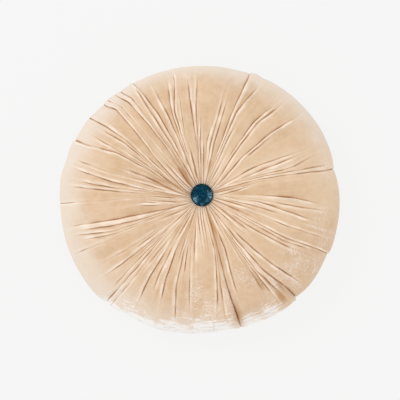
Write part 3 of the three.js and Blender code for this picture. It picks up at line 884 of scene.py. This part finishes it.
def cover_velvet():
    """Peach velvet: a short dense pile, with painted shade in the creases and pale where crushed."""
    finish = Finish("cover_velvet")
    where = finish.place()
    # Random tone of the lands with their painted shade and painted light.
    land_tone_and_light = finish.spots("tone_and_painted_light")
    # The painted highlights of the ridges.
    ridge_highlights = finish.spots("painted_ridge_highlight")
    # The painted shade of the creases.
    shade_in_creases = finish.spots("crease")

    # The plain cloth, cloudy and with streaks drawn round the cushion, on lands paler and deeper by
    # chance and by painted light and shade, with painted highlights on the ridges.
    broad = finish.range(finish.noise(where, scale=16, detail=3), low=0.35, high=0.65)
    plain = finish.blend(broad, PEACH, PEACH_LIGHTER)
    cloudy = finish.range(finish.noise(where, scale=85, detail=5, roughness=0.65), low=0.3, high=0.7)
    drawn = finish.range(finish.lay_noise((1, 1, 0.09), scale=330), low=0.35, high=0.7)
    mottled = finish.blend(cloudy * CLOUDY_SHARE + drawn * DRAWN_SHARE, plain, PEACH_CLOUD)
    paler = finish.range(land_tone_and_light, low=-1.5, high=0, to_low=0.6, to_high=0)
    deeper_and_shaded = finish.range(land_tone_and_light, low=0, high=2, to_low=0, to_high=0.9)
    toned = finish.blend(paler, mottled, PALE_LAND_AND_LIGHT)
    # Painted highlights on the ridges.
    highlighted = finish.blend(ridge_highlights * RIDGE_HIGHLIGHT_SHARE, toned, RIDGE_HIGHLIGHT)
    # Painted shade and painted light of the lands, with their random tone.
    wear_and_painted_light = finish.blend(deeper_and_shaded, highlighted, DEEP_LAND_AND_SHADE)

    # The crushed pile: pale specks over trodden, darker grain.
    trod_on = finish.spots("crushed")
    strokes = finish.lay_noise((0.7, 0.7, 1.0), scale=300, detail=6, roughness=0.75, swirl=1.2)
    grain = finish.lay_noise((0.8, 0.8, 1.0), scale=480, roughness=0.7, swirl=0.8)
    specks = strokes + grain * GRAIN_COUNTS + trod_on * CRUSHED_COUNTS
    rubbed = finish.range(specks, low=1.36, high=1.72) * finish.range(trod_on, low=0.1, high=0.5)
    trodden = finish.range(grain, low=0.36, high=0.47, to_low=0.4, to_high=0) * trod_on
    softened = finish.blend(trod_on * CRUSHED_SHARE, wear_and_painted_light, CRUSHED_ALL_OVER)
    flattened = finish.blend(trodden, softened, CRUSHED_FLAT)
    crushed_pile = finish.blend(rubbed * RUBBED_SHARE, flattened, CRUSHED_PALE)

    # The white band of the lower rim, crushed pile under a painted sheen, with gaps between its tufts
    # and partings in them.
    hairs = finish.lay_noise((0.34, 0.34, 0.9), scale=260, swirl=0.6)
    wisps = strokes * STROKES_COUNT + hairs * HAIRS_COUNT + finish.spots("fringe") * FRINGE_COUNTS
    flecks = finish.range(wisps, low=1.4, high=1.7)
    gaps = finish.lay_noise((0.45, 0.45, 2.4), scale=230, swirl=1.5)
    hairy = finish.range(gaps, low=0.57, high=0.66, to_low=0.97, to_high=0.45) * (1 - deeper_and_shaded)
    threads = finish.lay_noise((0.25, 0.25, 1.6), scale=300, swirl=0.8)
    parted = finish.range(threads, low=0.38, high=0.47, to_low=0.62, to_high=0)
    tufts = finish.blend(parted, TUFT_WHITE, TUFT_SHADE)
    white_banded = finish.blend(flecks * hairy * WHITE_BAND_SHARE, crushed_pile, tufts)
    # Painted shade in the creases, laid over all the other colours.
    colour = finish.blend(shade_in_creases * CREASE_SHADE_SHARE, white_banded, CREASE_SHADE)
    bump = finish.bump(finish.noise(where, scale=900), strength=0.25)
    finish.wear(Base_Color=colour, Roughness=0.85, Normal=bump)
    finish.wear(Specular_IOR_Level=0.15, Sheen_Weight=0.08, Sheen_Roughness=0.35, Sheen_Tint=SHEEN_TINT)

    # The tips of the pile, a sheen where the painted rim sheen says, but not inside the creases' painted
    # shade.
    tips = finish.blend(ridge_highlights, TIP_LAND, TIP_ON_HIGHLIGHT)
    # Whiter tips in the white band of the lower rim, part of its painted sheen.
    bright = finish.blend(parted * TIPS_PARTED, TIP_WHITE, TUFT_SHADE)
    white = finish.blend(flecks * hairy, tips, bright)
    unfolded = finish.range(shade_in_creases, low=0.05, high=0.6, to_low=1, to_high=0)
    finish.pile_tips(white, finish.spots("painted_rim_sheen") * unfolded * (1 - deeper_and_shaded), bump)
    return finish.material


cover.data.materials.append(cover_velvet())
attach(cover, "root")
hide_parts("cover")

# Front button. A domed metal shell covered with dark teal velvet, whose edge is tucked in behind it.
# A twine through the filling pulls it down until the gathers close round it.
BUTTON_RADIUS = 15.8 * MM
BUTTON_WAIST = 3.2 * MM
BUTTON_DOME = 5.6 * MM
BUTTON_SIDES = 128
BUTTON_ROWS = 48
ON_WAIST = 0.001 * MM
TUCKS = 30
TUCK_DEPTH = 0.6 * MM
TUCK_STRAY = 1.3
TUCK_ON_DOME = 0.6
TUCKED_FROM = 0.8 * BUTTON_RADIUS
EDGE_SHADE_FROM = 0.86 * BUTTON_RADIUS
FUZZ = 0.22 * MM
# Where its pile is rubbed pale: bearing, distance and size in millimetres, and how strongly.
RUBBED = [
    (208, 11, 4, 1.1), (222, 12, 4, 1.0), (8, 11.5, 4.5, 1.0), (348, 12, 4, 1.0), (30, 9.5, 3, 0.6),
    (318, 11, 3, 0.8), (268, 13.5, 3, 0.8), (285, 11, 2.5, 0.6), (75, 14.5, 3, 0.5),
    (130, 14.5, 3.5, 0.4),
]


def covered_button(name, node, up):
    """A sphere pressed to a dome on a rounded edge, the tucks of its cover worked in round the edge."""
    low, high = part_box(node)
    middle = ((low[0] + high[0]) / 2, (low[1] + high[1]) / 2)
    waist = low[2] + BUTTON_WAIST if up else high[2] - BUTTON_WAIST
    centre = (middle[0], middle[1], waist)
    bpy.ops.object.select_all(action="DESELECT")
    bpy.ops.mesh.primitive_uv_sphere_add(
        segments=BUTTON_SIDES, ring_count=BUTTON_ROWS, radius=BUTTON_RADIUS, location=centre
    )
    button = bpy.context.object
    button.name = name
    bpy.ops.object.transform_apply(location=True, rotation=True, scale=True)
    for front, thick in ((True, BUTTON_DOME), (False, BUTTON_WAIST)):
        for vertex in button.data.vertices:
            off_waist = abs(vertex.co.z - waist) > ON_WAIST
            vertex.select = off_waist and (vertex.co.z > waist) == (front == up)
        bpy.ops.object.mode_set(mode="EDIT")
        bpy.ops.transform.resize(value=(1, 1, thick / BUTTON_RADIUS), center_override=centre)
        bpy.ops.mesh.select_all(action="DESELECT")
        bpy.ops.object.mode_set(mode="OBJECT")

    places = point_places(button)
    flat = places[:, :2] - middle
    distance = np.hypot(flat[:, 0], flat[:, 1])
    turn = np.arctan2(flat[:, 1], flat[:, 0])
    chance = np.random.default_rng(SEED)
    at_edge = smooth(distance, TUCKED_FROM, BUTTON_RADIUS)
    tucked = 0.5 - 0.5 * np.cos(turn * TUCKS + TUCK_STRAY * np.sin(3 * turn))
    behind = np.where((places[:, 2] > waist) == up, TUCK_ON_DOME, 1.0)
    moved = at_edge * (FUZZ * chance.uniform(-1, 1, len(places)) - TUCK_DEPTH * tucked * behind)
    places[:, :2] += flat / np.maximum(distance, AXIS_EDGE)[:, None] * moved[:, None]
    button.data.vertices.foreach_set("co", places.ravel())
    bpy.ops.object.shade_smooth()

    rubbed = np.zeros(len(places))
    for spot_bearing, spot_distance, size, strength in RUBBED:
        spot_turn = np.radians(spot_bearing)
        spot = np.array([np.cos(spot_turn), np.sin(spot_turn)]) * spot_distance * MM
        away_by = np.hypot(*(flat - spot).T) / (size * MM)
        rubbed = np.maximum(rubbed, strength * np.exp(-(away_by**2)))
    name_spots(button, "rubbed", rubbed)
    # Painted shade round the edge, where the button turns under against the gathers.
    name_spots(button, "edge", smooth(distance, EDGE_SHADE_FROM, BUTTON_RADIUS))
    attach(button, "root")
    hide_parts(node)
    return button


TEAL_DARK = (0.0006, 0.022, 0.05, 1)
TEAL = (0.001, 0.07, 0.105, 1)
TEAL_RUBBED = (0.17, 0.36, 0.46, 1)
TEAL_EDGE_SHADE = (0.001, 0.02, 0.035, 1)
TEAL_SHEEN = (0.3, 0.7, 0.9, 1)
TEAL_RUBBED_SHARE = 0.9
EDGE_SHADE_SHARE = 0.75
TEAL_SPOTS_COUNT = 0.28


def button_velvet():
    """Dark teal velvet, nearly black-blue on the dome, greyish where the pile is rubbed, with painted
    shade round its edge.
    """
    finish = Finish("button_velvet")
    where = finish.place()
    mottled = finish.range(finish.noise(where, scale=300, detail=5, roughness=0.7), low=0.42, high=0.66)
    plain = finish.blend(mottled, TEAL_DARK, TEAL)
    streaks = finish.noise(where, scale=520, detail=4, roughness=0.7)
    rubbed = finish.range(streaks + finish.spots("rubbed") * TEAL_SPOTS_COUNT, low=0.6, high=0.85)
    wear_and_painted_light = finish.blend(rubbed * TEAL_RUBBED_SHARE, plain, TEAL_RUBBED)
    # Painted shade round the edge of the button.
    colour = finish.blend(finish.spots("edge") * EDGE_SHADE_SHARE, wear_and_painted_light, TEAL_EDGE_SHADE)
    bump = finish.bump(finish.noise(where, scale=1400), strength=0.35)
    finish.wear(Base_Color=colour, Roughness=0.9, Normal=bump, Specular_IOR_Level=0.1)
    finish.wear(Sheen_Weight=0.06, Sheen_Roughness=0.4, Sheen_Tint=TEAL_SHEEN)
    return finish.material


teal = button_velvet()
covered_button("button_front", "front_button", True).data.materials.append(teal)

# Back button. The same covered button again, dome down. The other end of the twine is tied to it,
# which draws the two hollows in.
covered_button("button_back", "back_button", False).data.materials.append(teal)

# Studio: a white floor that glows a little, so that it stays even round the cushion, a white sky,
# and one soft lamp from the upper left.
FLOOR_HEIGHT = -0.5 * MM
FLOOR_WIDTH = 8
FLOOR_GREY = (0.1, 0.1, 0.1, 1)
FLOOR_GLOW = 0.822
WHITE = (1, 1, 1, 1)
SKY_STRENGTH = 0.9
LAMP_PLACE = (-1.1, 0.7, 2.0)
LAMP_AIM = (0, 0, 0.05)
LAMP_WIDTH = 1.0
LAMP_POWER = 8.5

bpy.ops.object.select_all(action="DESELECT")
bpy.ops.mesh.primitive_plane_add(size=FLOOR_WIDTH, location=(0, 0, FLOOR_HEIGHT))
floor = bpy.context.object
floor.name = "floor"
bpy.ops.object.transform_apply(location=True, rotation=True, scale=True)
ground = Finish("floor")
ground.wear(Base_Color=FLOOR_GREY, Roughness=1.0, Specular_IOR_Level=0.0)
ground.wear(Emission_Color=WHITE, Emission_Strength=FLOOR_GLOW)
floor.data.materials.append(ground.material)

sky = bpy.data.worlds.new("studio")
bpy.context.scene.world = sky
sky.use_nodes = True
sky.node_tree.nodes["Background"].inputs["Color"].default_value = WHITE
sky.node_tree.nodes["Background"].inputs["Strength"].default_value = SKY_STRENGTH

bpy.ops.object.light_add(type="AREA", location=LAMP_PLACE)
lamp = bpy.context.object
lamp.name = "key"
lamp.data.shape = "DISK"
lamp.data.size = LAMP_WIDTH
lamp.data.energy = LAMP_POWER
lamp.rotation_euler = (Vector(LAMP_AIM) - Vector(LAMP_PLACE)).to_track_quat("-Z", "Y").to_euler()

# Camera: straight above the cushion, far enough away to see its crown and rim as evenly as the
# photograph does, and framed as it is.
FOCAL = 100
SENSOR = 36
FRAME_WIDTH = 0.5715
FRAME_MIDDLE = (0.0007, -0.0007)
RIM_HEIGHT = 0.06

camera_height = RIM_HEIGHT + FRAME_WIDTH * FOCAL / SENSOR
bpy.ops.object.camera_add(location=(*FRAME_MIDDLE, camera_height), rotation=(0, 0, 0))
camera = bpy.context.object
camera.data.lens = FOCAL
camera.data.sensor_width = SENSOR
bpy.context.scene.camera = camera
bpy.context.scene.view_settings.view_transform = "Standard"
